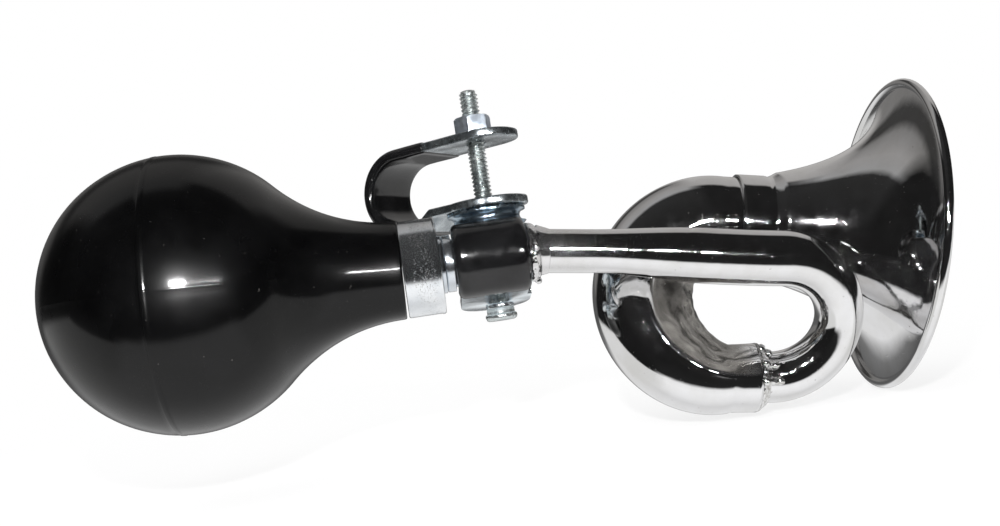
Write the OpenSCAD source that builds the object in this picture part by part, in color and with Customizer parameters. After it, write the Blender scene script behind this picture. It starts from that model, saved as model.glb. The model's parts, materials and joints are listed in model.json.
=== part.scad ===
// Bulb horn: a rubber bulb, a reed stem, a coiled bugle tube and a bell,
// held by a clip on the stem and a U strap for a handlebar, with one bolt through both.
// The origin is the middle of the handlebar's seat in the U strap. +X runs along the reed stem
// towards the bell, +Y runs to the back, where the bar lies, and +Z is up.
// All sizes are in millimetres.

/* [Bulb] */
// Greatest radius of the bulb
bulb_r = 34.2; // [31:0.1:37]
// Radius of the hollow curve that runs from the bulb into its neck
bulb_blend_r = 42; // [34:0.5:50]
// Radius of the bulb's neck where it meets the collar
bulb_neck_r = 12.2; // [11:0.1:13]
// Thickness of the rubber wall
bulb_wall = 2.4; // [1.6:0.1:3.2]
// Angle by which the bulb sags off the line of the stem
bulb_sag = 2; // [0:0.1:2.2]
// Height of the moulding ridge round the bulb
bulb_ridge = 0.2; // [0.1:0.05:0.6]

/* [Collar and reed stem] */
// Radius of the bulb's collar
collar_r = 12.05; // [11.4:0.05:13]
// Length of the collar along the stem
collar_len = 9.3; // [8.5:0.1:11]
// Thickness of the sealing ring
washer_t = 1; // [0.8:0.1:2]
// Radius of the stem's shoulder and of the sealing ring
shoulder_r = 7.1; // [6.6:0.1:8]
// Length of the stem's shoulder
shoulder_len = 2.2; // [1.5:0.1:3]
// Radius of the stem inside the clip
stem_r = 6; // [5.6:0.05:6.4]
// Radius of the stem's screwed end
spigot_r = 5; // [4.6:0.05:5.4]
// Pitch of the screwed end
spigot_pitch = 1; // [0.75:0.05:1.25]

/* [Reed] */
// Length of the reed's tongue
reed_len = 13; // [10:0.5:14]
// Width of the reed's tongue
reed_w = 4.6; // [3.6:0.1:5]
// Thickness of the reed's tongue
reed_t = 0.25; // [0.15:0.05:0.4]
// Angle at which the tongue stands off the shallot at rest
reed_lift = 2.5; // [1.5:0.1:3]

/* [Bugle tube] */
// Angle between the stem and the first run of the tube
kink = 8.5; // [4:0.1:12]
// Radius of the tube where it leaves the stem
lead_r = 5.5; // [5:0.1:5.8]
// Radius of the tube where it crosses the coil
cross_r = 7.2; // [6.4:0.1:7.6]
// Radius of the first tube's end, inside the mouth of the coil tube
lead_end_r = 6.7; // [6:0.1:7.2]
// Half the height of the bend at the bell's end of the coil
right_bend_r = 15.7; // [15:0.05:17]
// How far that bend reaches past its middle
bend_reach = 16.6; // [15.5:0.05:18]
// Distance from the stem to the middle of that bend
right_bend_x = 63; // [60:0.5:66]
// Radius of the coil tube's mouth
mouth_r = 9.2; // [8.6:0.1:9.8]
// Radius of the coil tube where it enters the bell
throat_r = 13.2; // [12.6:0.1:14]
// Radius of the bend at the bulb's end of the coil
left_bend_r = 20.3; // [19.6:0.05:21]
// Distance from the stem to the middle of that bend
left_bend_x = 52.2; // [50:0.1:54]
// How far behind the first run the lower run lies
lower_y = 11; // [8:0.1:12]
// How far behind the first run the bell's axis lies
coil_depth = 24.7; // [23.8:0.1:27]
// Thickness of the tube's wall
tube_wall = 0.6; // [0.4:0.05:0.9]

/* [Bell] */
// Length of the bell from its seam to the rim
bell_len = 44.4; // [42:0.1:48]
// Radius of the bell's rim
rim_r = 42.4; // [40:0.1:45]
// Radius of the rolled edge
rim_bead = 1.3; // [0.8:0.1:1.8]
// Angle by which the bell droops below the first run
bell_droop = 2.8; // [2:0.1:4.5]
// Angle by which the bell turns towards the front
bell_turn = 2.5; // [0:0.1:3]

/* [Clamp] */
// Diameter of the bar that the U strap takes as it is set here
bar_d = 17.3; // [16.5:0.1:18.2]
// Angle by which the bolt leans away from the front
lean = 5; // [0:0.5:10]
// Angle of the U strap round the bolt
swivel = 36; // [30:0.5:45]
// Distance from the stem's axis to the bolt
bolt_back = 12; // [11.5:0.1:13]
// Distance from the bolt to the middle of the bar
bar_back = 20.5; // [19.5:0.1:22]
// Height of the U strap's top arm above the stem's axis
arm_top = 33.1; // [32:0.1:34]
// Width of the U strap
strap_w = 18; // [16:0.5:19]
// Thickness of the U strap
strap_t = 2.2; // [1.8:0.1:2.5]
// Thickness of the clip
clip_t = 2; // [1.5:0.1:2.2]
// Thickness of the vinyl sleeve on the clip
sleeve_t = 0.7; // [0.5:0.05:0.9]
// Thickness of the vinyl sleeve on the U strap
bar_sleeve_t = 0.4; // [0.3:0.05:0.6]
// Width of the clip under its sleeve
clip_w = 17.1; // [15:0.1:17.6]
// Width of the clip's ears
ear_w = 18.2; // [17.6:0.1:19]
// Angle by which the clip's lower ear is bent down
ear_splay = 8; // [0:0.5:9]
// Radius of the bolt's thread
bolt_r = 2.38; // [2.2:0.01:2.5]
// Pitch of the bolt's thread
bolt_pitch = 1.058; // [0.8:0.001:1.3]
// Height of the bolt's tip above the stem's axis
bolt_tip = 45.2; // [44.5:0.1:48]
// Width of the hexagon nut across its flats
nut_af = 8.6; // [8:0.1:9.5]
// Height of the hexagon nut
nut_h = 4.9; // [4:0.1:5.2]

/* [Fits] */
// Gap round the stem in the clip's sleeve
turn_gap = 0.08; // [0.02:0.01:0.1]
// Gap between faces that slide or turn on each other
face_gap = 0.1; // [0.05:0.01:0.15]
// Gap round the bolt in its holes
bolt_gap = 0.3; // [0.2:0.05:0.4]

/* [Hidden] */
$fn = 72;

rubber = "#161616";
vinyl = "#1d1d1f";
chrome = "#d5d8dc";
zinc = "#c3ccd4";
solder = "#bfc0bd";
brass = "#c9a24a";

// Gap between pieces that are pressed or soldered together, and gaps in the screwed bores
press_gap = 0.02;
spigot_gap = 0.15;
nut_gap = 0.05;
// Lap between the shapes of one solid, and the reach of a cut that goes right through
lap = 0.01;
through = 40;

// Stations along the stem's axis, measured from the bolt
clip_mid = -1.45;
ear_mid = -0.8;
sleeve_lip = 0.6;
clip_len = clip_w + 2 * sleeve_lip;
shoulder_gap = 0.3;
shoulder_right = clip_mid - clip_len / 2 - shoulder_gap;
shoulder_left = shoulder_right - shoulder_len;
collar_right = shoulder_left - washer_t - face_gap;
collar_left = collar_right - collar_len;
recess_len = 4.7;
flange_gap = 0.25;
flange_len = 1;
flange_r = stem_r + 0.5;
flange_left = clip_mid + clip_len / 2 + flange_gap;
stem_end = flange_left + flange_len;
lead_in = 1.35;
bugle_x = stem_end + lead_in;
spigot_len = 5.4;
spigot_left = collar_right - spigot_len;
bore_r = 3.6;
reed_bore_r = 4.6;
reed_bore_left = shoulder_left + 5;

// The clip's bent strip, measured from the stem's axis
clip_hole_r = stem_r + turn_gap;
clip_in_r = clip_hole_r + sleeve_t;
clip_out_r = clip_in_r + clip_t;
ear_reach = 11.4;
ear_end = bolt_back + ear_reach;
ear_corner = 8;
ear_from = 8;
head_r = 4.1;
head_h = 3.1;
head_neck_r = 3.6;
lock_t = 1.4;
lock_r = head_neck_r + 0.1;
ear_under = clip_in_r + clip_t / cos(ear_splay) + (bolt_back + lock_r) * tan(ear_splay);
lock_seat = -ear_under - press_gap;
head_top = lock_seat - lock_t - press_gap;

// The U strap, measured in its own plane
bar_r = bar_d / 2;
u_in_r = bar_r + bar_sleeve_t;
u_out_r = u_in_r + strap_t;
bar_z = arm_top - u_out_r;
plate_top = 15.7;
plate_bottom = plate_top - strap_t;
strap_end = 11.4;
plate_r = 10.2;
strap_corner = 8.3;
spacer_r = 10.2;
joggle_to = -spacer_r - 1.3;
joggle_from = joggle_to - 4;
top_sleeve_end = -10.5;
low_sleeve_end = joggle_from - 0.5;

// The middle of the bar, seen from the stem's axis
bar_across = bolt_back + bar_back * sin(swivel);
bar_mid = [
    -bar_back * cos(swivel),
    bar_across * cos(lean) + bar_z * sin(lean),
    bar_z * cos(lean) - bar_across * sin(lean)
];

// The bugle's runs, in the frame that starts at the stem's end
tube_sides = 32;
lead_start = (stem_end + 0.1 - bugle_x + lead_r * sin(kink)) / cos(kink);
swell_from = 14;
swell_to = 44;
lead_sag = 1.5;
flatten = 0.9;
neck_share = 0.78;
neck_from = 0.72;
bulge = 3.25;
lower_z = -lead_sag - 2 * right_bend_r;
mouth_x = right_bend_x - 4.1;
lead_tip_x = mouth_x - 4;
left_bend_z = lower_z + left_bend_r;
left_sweep = 180 + bell_droop;
seam_run = 3.5;
socket_len = 8.5;
bell_wall = 0.7;
socket_r = throat_r + 0.1 + bell_wall;

function smooth(t) = let (c = min(1, max(0, t))) c * c * (3 - 2 * c);
function mix(a, b, t) = a + (b - a) * t;
function unit(v) = v / norm(v);

// A station along a tube is its centre, its radius in the coil's plane and its radius across it
function lead_radius(x) = mix(lead_r, cross_r, smooth((x - swell_from) / (swell_to - swell_from)));
function lead_bend(t) =
    let (a = 90 - 180 * t, r = mix(cross_r, lead_end_r, t))
    [
        [right_bend_x + bend_reach * cos(a), lower_y * smooth(t), right_bend_r * (sin(a) - 1) - lead_sag],
        r - flatten * pow(sin(180 * t), 2),
        r
    ];
function loop_radius(t) =
    let (opening = mix(neck_share, 1, smooth((t - neck_from) / (1 - neck_from))))
    mouth_r + opening * (throat_r - mouth_r) * pow(t, 0.6);
function left_bend_place(t) =
    let (a = 270 - left_sweep * t)
    [
        left_bend_x + left_bend_r * cos(a),
        mix(lower_y, coil_depth, smooth(1.25 * t)),
        left_bend_z + left_bend_r * sin(a)
    ];
bell_way = [cos(bell_droop) * cos(bell_turn), -sin(bell_turn), -sin(bell_droop) * cos(bell_turn)];
bell_seam = left_bend_place(1) + seam_run * bell_way;

lead_stations = [
    for (x = [lead_start, swell_from / 2, each [swell_from : 5 : right_bend_x - 3]])
        let (drop = lead_sag * smooth((x - swell_from) / (right_bend_x - swell_from)))
        [[x, 0, -drop], lead_radius(x), lead_radius(x)],
    for (i = [0 : 20]) lead_bend(i / 20),
    for (x = [mouth_x, lead_tip_x]) [[x, lower_y, lower_z], lead_end_r, lead_end_r]
];
loop_stations = [
    for (x = [mouth_x, mix(mouth_x, left_bend_x, 0.6)]) [[x, lower_y, lower_z], mouth_r, mouth_r],
    for (i = [0 : 28])
        let (t = i / 28)
        [left_bend_place(t), loop_radius(t) + bulge * sin(180 * t), loop_radius(t)],
    for (d = [seam_run / 2, seam_run + socket_len - 1.5])
        [left_bend_place(1) + d * bell_way, throat_r, throat_r]
];

// Frames that the pieces are built in
module at_stem() { translate(-bar_mid) children(); }
module at_clip() { at_stem() rotate([-lean, 0, 0]) children(); }
module at_bolt() { at_clip() translate([0, bolt_back, 0]) children(); }
module at_bar() { at_bolt() rotate([0, 0, -swivel]) children(); }
module at_bugle() { at_stem() translate([bugle_x, 0, 0]) rotate([0, kink, 0]) children(); }
module at_bell() {
    at_bugle() translate(bell_seam) rotate([0, bell_droop, 0]) rotate([0, 0, -bell_turn]) children();
}
module at_bulb() { at_stem() translate([collar_left, 0, 0]) rotate([0, bulb_sag, 0]) children(); }

// Turns a profile of [radius, station] points round the X axis
module turned(points) { rotate([0, 90, 0]) rotate_extrude() polygon(points); }

// A plain round bar or hole along the X axis
module along_x(x0, x1, r) { translate([x0, 0, 0]) rotate([0, 90, 0]) cylinder(h = x1 - x0, r = r); }

// Points of an arc, by its middle, radius and end angles
function arc(mid, r, a0, a1, steps) =
    [for (i = [0 : steps]) let (a = mix(a0, a1, i / steps)) mid + r * [cos(a), sin(a)]];

// Crests and roots of a screw thread, as [radius, station] points
function thread(r, pitch, depth, from, to) =
    let (n = floor((to - from) / pitch))
    [
        for (i = [0 : n - 1]) each [[r - depth, from + i * pitch], [r, from + (i + 0.5) * pitch]],
        [r - depth, from + n * pitch]
    ];

// A hollow tube through a list of stations
function station_way(st, i) =
    unit(st[min(i + 1, len(st) - 1)][0] - st[max(i - 1, 0)][0]);
function tube_ring(st, i, wall) =
    let (
        way = station_way(st, i),
        up = unit(cross(way, [0, 1, 0])),
        side = cross(up, way)
    )
    [
        for (k = [0 : tube_sides - 1])
            let (a = 360 * k / tube_sides)
            st[i][0] + (st[i][1] - wall) * cos(a) * up + (st[i][2] - wall) * sin(a) * side
    ];
module swept_tube(st, wall) {
    last = len(st) - 1;
    skin = len(st) * tube_sides;
    points = [
        for (i = [0 : last]) each tube_ring(st, i, 0),
        for (i = [0 : last]) each tube_ring(st, i, wall)
    ];
    function at(i, k) = i * tube_sides + k % tube_sides;
    faces = [
        for (i = [0 : last - 1], k = [0 : tube_sides - 1]) each [
            [at(i, k), at(i, k + 1), at(i + 1, k + 1), at(i + 1, k)],
            [skin + at(i, k), skin + at(i + 1, k), skin + at(i + 1, k + 1), skin + at(i, k + 1)]
        ],
        for (k = [0 : tube_sides - 1]) each [
            [at(0, k), skin + at(0, k), skin + at(0, k + 1), at(0, k + 1)],
            [at(last, k), at(last, k + 1), skin + at(last, k + 1), skin + at(last, k)]
        ]
    ];
    polyhedron(points = points, faces = faces, convexity = 8);
}

// Rubber bulb: a ball that runs in a hollow curve into its neck, with a plug for the collar
bulb_mid = -sqrt(pow(bulb_r + bulb_blend_r, 2) - pow(bulb_neck_r + bulb_blend_r, 2));
bulb_turn = atan2(bulb_neck_r + bulb_blend_r, -bulb_mid);
plug_r = collar_r - 2.7;
plug_len = recess_len - 0.5;
plug_bore_r = 6.6;
function bulb_skin(wall) =
    concat(
        arc([0, bulb_mid], bulb_r - wall, -90, 90 - bulb_turn, 36),
        arc([bulb_neck_r + bulb_blend_r, 0], bulb_blend_r + wall, 270 - bulb_turn, 180, 16)
    );
module bulb() {
    neck_face = collar_left - face_gap;
    bore_from = -12;
    ridge_at = bulb_mid - 3;
    color(rubber) difference() {
        union() {
            difference() {
                at_bulb() {
                    turned(concat(bulb_skin(0), [[bulb_neck_r, 2], [0, 2], [0, bulb_mid - bulb_r]]));
                    turned([
                        [bulb_r - 0.6, ridge_at - 0.9], [bulb_r + bulb_ridge - 0.1, ridge_at - 0.5],
                        [bulb_r + bulb_ridge - 0.1, ridge_at + 0.5], [bulb_r - 0.6, ridge_at + 0.9]
                    ]);
                }
                at_stem() along_x(neck_face, neck_face + 10, 2 * bulb_neck_r);
            }
            at_stem() along_x(neck_face - 1, collar_left + plug_len, plug_r);
        }
        at_bulb() turned(concat(
            [for (p = bulb_skin(bulb_wall)) if (p[1] < bore_from) p],
            [[0, bore_from], [0, bulb_mid - bulb_r + bulb_wall]]
        ));
        at_stem() along_x(collar_left + bore_from - 1, collar_left + plug_len + 1, plug_bore_r);
    }
}

// Turned collar that holds the bulb's plug and screws on the stem
module bulb_collar() {
    edge = 0.6;
    color(zinc) at_stem() turned([
        [plug_r + 0.4, collar_left], [collar_r - edge / 2, collar_left], [collar_r, collar_left + edge],
        [collar_r, collar_right - edge], [collar_r - edge, collar_right],
        [spigot_r + spigot_gap, collar_right], [spigot_r + spigot_gap, collar_left + recess_len],
        [plug_r + 0.4, collar_left + recess_len]
    ]);
}

// Sealing ring between the collar and the stem's shoulder
module seal_washer() {
    color(zinc) at_stem() difference() {
        along_x(collar_right + face_gap / 2, shoulder_left - face_gap / 2, shoulder_r + 0.1);
        along_x(collar_right - through, shoulder_left + through, spigot_r + spigot_gap);
    }
}

// Reed stem: screwed end for the collar, shoulder, plain barrel for the clip, flange for the tube
module reed_stem() {
    thread_depth = 0.45;
    color(zinc) at_stem() turned(concat(
        [[bore_r, spigot_left], [spigot_r - 0.8, spigot_left]],
        thread(spigot_r, spigot_pitch, thread_depth, spigot_left + 0.4, shoulder_left - 0.3),
        [
            [spigot_r - thread_depth, shoulder_left], [shoulder_r - 0.3, shoulder_left],
            [shoulder_r, shoulder_left + 0.3], [shoulder_r, shoulder_right], [stem_r, shoulder_right],
            [stem_r, flange_left], [flange_r, flange_left], [flange_r, stem_end],
            [reed_bore_r, stem_end], [reed_bore_r, reed_bore_left], [bore_r, reed_bore_left]
        ]
    ));
}

// Brass holder pressed in the stem, with the shallot, its tongue and the wedge that grips the tongue
holder_flange = 1.6;
shallot_left = reed_bore_left + 0.4;
shallot_r = 3.3;
channel_r = 2.1;
holder_r = bore_r + 0.8;
holder_end = shallot_left - 0.05;
holder_bore_r = 2.3;
tongue_foot = face_gap + 0.05;
wedge_len = 2.4;
module reed_holder() {
    color(brass) at_stem() turned([
        [holder_bore_r, spigot_left - holder_flange], [holder_r, spigot_left - holder_flange],
        [holder_r, spigot_left - press_gap], [bore_r - press_gap, spigot_left - press_gap],
        [bore_r - press_gap, holder_end], [holder_bore_r, holder_end]
    ]);
}
module reed_shallot() {
    shallot_len = reed_len + 1.5;
    spigot = 4;
    color(brass) at_stem() translate([shallot_left, 0, 0]) difference() {
        union() {
            intersection() {
                along_x(0, shallot_len, shallot_r);
                translate([0, -shallot_r, -shallot_r]) cube([shallot_len, 2 * shallot_r, shallot_r]);
            }
            along_x(-spigot, 0.5, holder_bore_r - press_gap);
        }
        along_x(-spigot - 1, shallot_len - 1.5, channel_r);
        translate([0, -shallot_r, 0]) cube([shallot_len, 2 * shallot_r, shallot_r]);
    }
}
module reed_tongue() {
    color(brass) at_stem() translate([shallot_left + 0.3, 0, tongue_foot]) rotate([0, -reed_lift, 0])
        translate([0, -reed_w / 2, 0]) cube([reed_len, reed_w, reed_t]);
}
module reed_wedge() {
    clear = tongue_foot + reed_t + wedge_len * tan(reed_lift) + face_gap;
    color(brass) at_stem() translate([shallot_left, 0, 0]) {
        intersection() {
            along_x(0, wedge_len, shallot_r);
            translate([0, -shallot_r, clear]) cube([wedge_len, 2 * shallot_r, shallot_r]);
        }
        for (s = [-1, 1]) intersection() {
            along_x(0, wedge_len, shallot_r);
            translate([0, s * (shallot_r + reed_w / 2 + face_gap) / 2, clear / 2 + 0.1])
                cube([2 * wedge_len, shallot_r - reed_w / 2 - face_gap, clear + 0.2], center = true);
        }
    }
}

// Rough bead of solder that covers the stem's flange and runs out along the first tube
module stem_solder() {
    bead_left = flange_left + 0.05;
    bead_r = stem_r + 1.4;
    bead_run = 3.4;
    drop_r = 0.9;
    color(solder) difference() {
        union() {
            at_stem() {
                turned([
                    [0, bead_left], [bead_r - 0.3, bead_left], [bead_r, bead_left + 0.4],
                    [bead_r - 0.1, stem_end + 0.4], [lead_r + 1.1, stem_end + 1.4], [0, stem_end + 1.4]
                ]);
                translate([stem_end + 0.6, -1.5, -bead_r]) sphere(r = drop_r, $fn = 24);
                translate([stem_end + 0.5, -bead_r + 0.2, 1.2]) sphere(r = drop_r, $fn = 24);
            }
            at_bugle() turned([
                [0, lead_start], [lead_r + 1.1, lead_start], [lead_r + 0.6, lead_start + bead_run / 2],
                [lead_r + 0.15, lead_start + bead_run], [0, lead_start + bead_run]
            ]);
        }
        at_bugle() along_x(lead_start - 0.05, lead_start + 2 * bead_run, lead_r + press_gap);
        at_stem() along_x(bead_left - bead_r, stem_end, flange_r + press_gap);
        at_stem() along_x(bead_left, stem_end + bead_run, reed_bore_r);
    }
}

// First tube: straight out of the stem, swelling where it crosses the coil, then back in a half turn
module lead_tube() {
    color(chrome) at_bugle() swept_tube(lead_stations, tube_wall);
}

// Solder in the mouth of the coil tube, with a fillet, and with lumps and runs on its front
module loop_solder() {
    plug = 2;
    fillet = 2.6;
    run_r = 1.1;
    run_len = 2.6;
    lump_r = 1.3;
    fit = 0.2;
    plug_out = mouth_r - fit / 2;
    wall_from = mouth_x - 2 * plug;
    wall_in = mouth_r - tube_wall - fit;
    wall_out = mouth_r + fit;
    edge = mouth_x + fit;
    color(solder) at_bugle() translate([0, lower_y, lower_z]) difference() {
        union() {
            turned([
                [lead_end_r, mouth_x - plug], [plug_out, mouth_x - plug], [plug_out, mouth_x + 2 * fit],
                [mouth_r - 0.5, mouth_x + fillet / 3], [lead_end_r + 0.6, mouth_x + fillet],
                [lead_end_r, mouth_x + fillet]
            ]);
            for (i = [0 : 2]) rotate([26 + 33 * i, 0, 0]) {
                reach = mouth_x + run_len + run_r * i;
                translate([0, 0, lead_end_r + run_r / 3]) along_x(mouth_x - plug / 2, reach, run_r);
                translate([reach, 0, lead_end_r + run_r / 3]) sphere(r = 1.15 * run_r, $fn = 24);
                translate([mouth_x + lump_r / 2, 0, mouth_r - lump_r / 2]) sphere(r = lump_r, $fn = 24);
            }
        }
        along_x(wall_from, right_bend_x + run_len + plug, lead_end_r + fit);
        turned([[wall_in, wall_from], [wall_out, wall_from], [wall_out, edge], [wall_in, edge]]);
    }
}

// Coil tube: from its mouth round the left bend and up to the bell, widening all the way
module loop_tube() {
    color(chrome) at_bugle() swept_tube(loop_stations, tube_wall);
}

// Bell: socket, raised shoulder, cone and flare, with a rolled edge
cone_from = socket_len + 2.8;
cone_r = socket_r + 1.1;
flare_from = bell_len - 14.8;
flare_a0 = 30;
flare_a1 = 80;
flare_r = (bell_len - rim_bead - flare_from) / (sin(flare_a1) - sin(flare_a0));
flare_rise = flare_r * (cos(flare_a0) - cos(flare_a1));
flare_r0 = rim_r - rim_bead - flare_rise;
flare_mid = [flare_r0 + flare_r * cos(flare_a0), flare_from - flare_r * sin(flare_a0)];
cone_bend = mix(cone_from, flare_from, 0.6);
function cone_curve(t) =
    let (knee = flare_r0 - (flare_from - cone_bend) * tan(flare_a0))
    [
        mix(mix(cone_r, knee, t), mix(knee, flare_r0, t), t),
        mix(mix(cone_from, cone_bend, t), mix(cone_bend, flare_from, t), t)
    ];
module bell() {
    groove = 0.2;
    outside = concat(
        [
            [socket_r, 0], [socket_r, socket_len - 0.8], [socket_r - groove, socket_len - 0.2],
            [socket_r - groove, socket_len + 0.4],
            [mix(socket_r, cone_r, 0.4), mix(socket_len, cone_from, 0.6)]
        ],
        [for (i = [0 : 7]) cone_curve(i / 8)],
        arc(flare_mid, flare_r, 180 - flare_a0, 180 - flare_a1, 14)
    );
    inside = concat(
        [[socket_r - bell_wall, 0], [socket_r - bell_wall, socket_len]],
        [for (i = [0 : 7]) cone_curve(i / 8) - [bell_wall, 0]],
        arc(flare_mid, flare_r + bell_wall, 180 - flare_a0, 180 - flare_a1, 14)
    );
    color(chrome) at_bell() {
        turned(concat(outside, [for (i = [len(inside) - 1 : -1 : 0]) inside[i]]));
        rotate([0, 90, 0]) rotate_extrude()
            translate([rim_r - rim_bead, bell_len - rim_bead]) circle(r = rim_bead, $fn = 32);
    }
}

// Strip of the clip, seen along the stem: round the front of the stem and back in two ears
module clip_outline(in_r, out_r) {
    intersection() {
        difference() {
            circle(r = out_r);
            circle(r = in_r);
        }
        translate([-2 * out_r, -2 * out_r]) square([2 * out_r, 4 * out_r]);
    }
}
module across_stem(w, mid) {
    translate([mid, 0, 0]) rotate([90, 0, 90]) linear_extrude(w, center = true) children();
}

// Zinc-plated clip round the stem
module clip_strip() {
    clip_outline(clip_in_r, clip_out_r);
    translate([-lap, clip_in_r]) square([ear_end, clip_t]);
    translate([0, -clip_in_r]) rotate(-ear_splay)
        translate([-lap, -clip_t]) square([ear_end / cos(ear_splay), clip_t]);
}
module stem_clip() {
    join = 0.5;
    ear_len = ear_end - ear_from - join;
    corner_y = ear_from + ear_len - ear_corner;
    color(zinc) at_clip() difference() {
        intersection() {
            across_stem(ear_w + 4, ear_mid) clip_strip();
            linear_extrude(2 * through, center = true) {
                translate([clip_mid - clip_w / 2, -through]) square([clip_w, through + ear_from + join]);
                translate([ear_mid, 0]) {
                    translate([-ear_w / 2, ear_from]) square([ear_w, ear_len - ear_corner]);
                    translate([ear_corner - ear_w / 2, ear_from]) square([ear_w - 2 * ear_corner, ear_len]);
                    for (s = [-1, 1]) translate([s * (ear_w / 2 - ear_corner), corner_y])
                        circle(r = ear_corner);
                }
            }
        }
        translate([0, bolt_back, 0]) cylinder(h = 2 * through, r = bolt_r + bolt_gap, center = true);
    }
}

// Black vinyl sleeve over the front of the clip
module clip_sleeve() {
    color(vinyl) at_clip() difference() {
        across_stem(clip_len, clip_mid) clip_outline(clip_hole_r, clip_out_r + sleeve_t);
        across_stem(clip_w, clip_mid) clip_strip();
    }
}

// Toothed spacer between the clip and the U strap
module swivel_spacer() {
    top_r = spacer_r;
    waist_r = spacer_r - 1.6;
    tooth = 0.7;
    teeth = 24;
    low = clip_out_r + press_gap / 2;
    high = plate_bottom - face_gap;
    hollow = (high - low - 1.6) / 2;
    color(zinc) at_bolt() difference() {
        rotate_extrude() polygon(concat(
            [[bolt_r + bolt_gap, low], [top_r - 0.6, low]],
            [
                for (i = [0 : 8])
                    let (a = 180 * i / 8)
                    [top_r - (top_r - waist_r) * sin(a), low + 0.6 + hollow * (1 - cos(a))]
            ],
            [[top_r, high - 0.4], [top_r - 0.4, high], [bolt_r + bolt_gap, high]]
        ));
        for (i = [0 : teeth - 1]) rotate([0, 0, 360 * i / teeth]) translate([bolt_r + 2, 0, high])
            rotate([90, 0, 90]) linear_extrude(top_r) polygon([[-tooth, lap], [0, -tooth], [tooth, lap]]);
    }
}

// Split spring washer under the bolt's head
module lock_washer() {
    split_at = 200;
    split_w = 0.6;
    color(zinc) at_bolt() translate([0, 0, lock_seat - lock_t]) difference() {
        cylinder(h = lock_t, r = lock_r);
        cylinder(h = 2 * through, r = bolt_r + bolt_gap, center = true);
        rotate([0, 0, split_at]) translate([0, -split_w / 2, -lock_t])
            cube([2 * lock_r, split_w, 3 * lock_t]);
    }
}

// Long bolt, head down, with its thread running to the tip
module clamp_bolt() {
    thread_depth = 0.45;
    rounding = 1;
    edge = 0.3;
    neck = 1.3;
    head_low = head_top - head_h;
    slot_w = 1.1;
    slot_deep = 1;
    color(zinc) at_bolt() difference() {
        rotate_extrude() polygon(concat(
            [[0, head_low]],
            arc([head_r - rounding, head_low + rounding], rounding, 270, 360, 6),
            [
                [head_r, head_top - neck - edge], [head_r - edge, head_top - neck],
                [head_neck_r, head_top - neck], [head_neck_r, head_top], [bolt_r - thread_depth, head_top]
            ],
            thread(bolt_r, bolt_pitch, thread_depth, head_top + 0.5, bolt_tip - 0.4),
            [[bolt_r - thread_depth - 0.2, bolt_tip], [0, bolt_tip]]
        ));
        translate([-2 * head_r, -slot_w / 2, head_low - slot_deep])
            cube([4 * head_r, slot_w, 2 * slot_deep]);
    }
}

// Hexagon nut on top of the U strap
module clamp_nut() {
    corner_r = nut_af / 2 / cos(30);
    nut_turn = 12;
    edge = 0.5;
    color(zinc) at_bolt() translate([0, 0, arm_top + face_gap]) difference() {
        intersection() {
            rotate([0, 0, nut_turn]) cylinder(h = nut_h, r = corner_r, $fn = 6);
            rotate_extrude() polygon([
                [0, 0], [corner_r - edge, 0], [corner_r, edge], [corner_r, nut_h - edge],
                [corner_r - edge, nut_h], [0, nut_h]
            ]);
        }
        cylinder(h = 2 * through, r = bolt_r + nut_gap, center = true);
    }
}

// Strip of the U strap in its own plane, with grow added on both faces
module u_bend(grow) {
    translate([-bar_back, bar_z]) intersection() {
        difference() {
            circle(r = u_out_r + grow);
            circle(r = u_in_r - grow);
        }
        translate([-through, -through]) square([through + lap, 2 * through]);
    }
}
module u_arms(grow, top_end, low_end) {
    t = strap_t + 2 * grow;
    translate([-bar_back, arm_top - strap_t - grow]) square([top_end + bar_back, t]);
    translate([-bar_back, bar_z - u_out_r - grow]) square([low_end + bar_back, t]);
}
module across_strap(w) { rotate([90, 0, 0]) linear_extrude(w, center = true) children(); }

// Zinc-plated U strap: top arm, bend for the bar, lower arm with a joggle up to the spacer
module bar_strap() {
    low = bar_z - u_out_r;
    color(zinc) at_bar() difference() {
        translate([0, 0, plate_bottom]) cylinder(h = strap_t, r = plate_r);
        cylinder(h = 2 * through, r = bolt_r + bolt_gap, center = true);
    }
    color(zinc) at_bar() difference() {
        intersection() {
            across_strap(strap_w) {
                u_bend(0);
                u_arms(0, strap_end, joggle_from);
                polygon([
                    [joggle_from - lap, low], [joggle_from + 0.5, low], [joggle_to + 0.5, plate_bottom],
                    [strap_end, plate_bottom], [strap_end, plate_top], [joggle_to - 0.3, plate_top],
                    [joggle_from - 0.3, low + strap_t], [joggle_from - 0.3, low + strap_t - lap]
                ]);
            }
            linear_extrude(2 * through, center = true) {
                translate([-through, -strap_w / 2]) square([through + strap_end - strap_corner, strap_w]);
                translate([0, strap_corner - strap_w / 2]) square([strap_end, strap_w - 2 * strap_corner]);
                for (s = [-1, 1]) translate([strap_end - strap_corner, s * (strap_w / 2 - strap_corner)])
                    circle(r = strap_corner);
            }
        }
        cylinder(h = 2 * through, r = bolt_r + bolt_gap, center = true);
    }
}

// Black vinyl sleeve on the U strap, where the bar seats
module bar_sleeve() {
    color(vinyl) at_bar() difference() {
        across_strap(strap_w + 2 * bar_sleeve_t) {
            u_bend(bar_sleeve_t);
            u_arms(bar_sleeve_t, top_sleeve_end, low_sleeve_end);
        }
        across_strap(strap_w) {
            u_bend(0);
            u_arms(0, strap_end, joggle_from);
        }
    }
}

bulb();
bulb_collar();
seal_washer();
reed_stem();
reed_holder();
reed_shallot();
reed_tongue();
reed_wedge();
stem_solder();
lead_tube();
loop_solder();
loop_tube();
bell();
stem_clip();
clip_sleeve();
swivel_spacer();
lock_washer();
clamp_bolt();
clamp_nut();
bar_strap();
bar_sleeve();
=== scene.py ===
"""A plated bugle horn for a handlebar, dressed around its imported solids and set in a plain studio."""

import json
import math

import bmesh
import bpy
from mathutils import Matrix, Vector, noise


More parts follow.
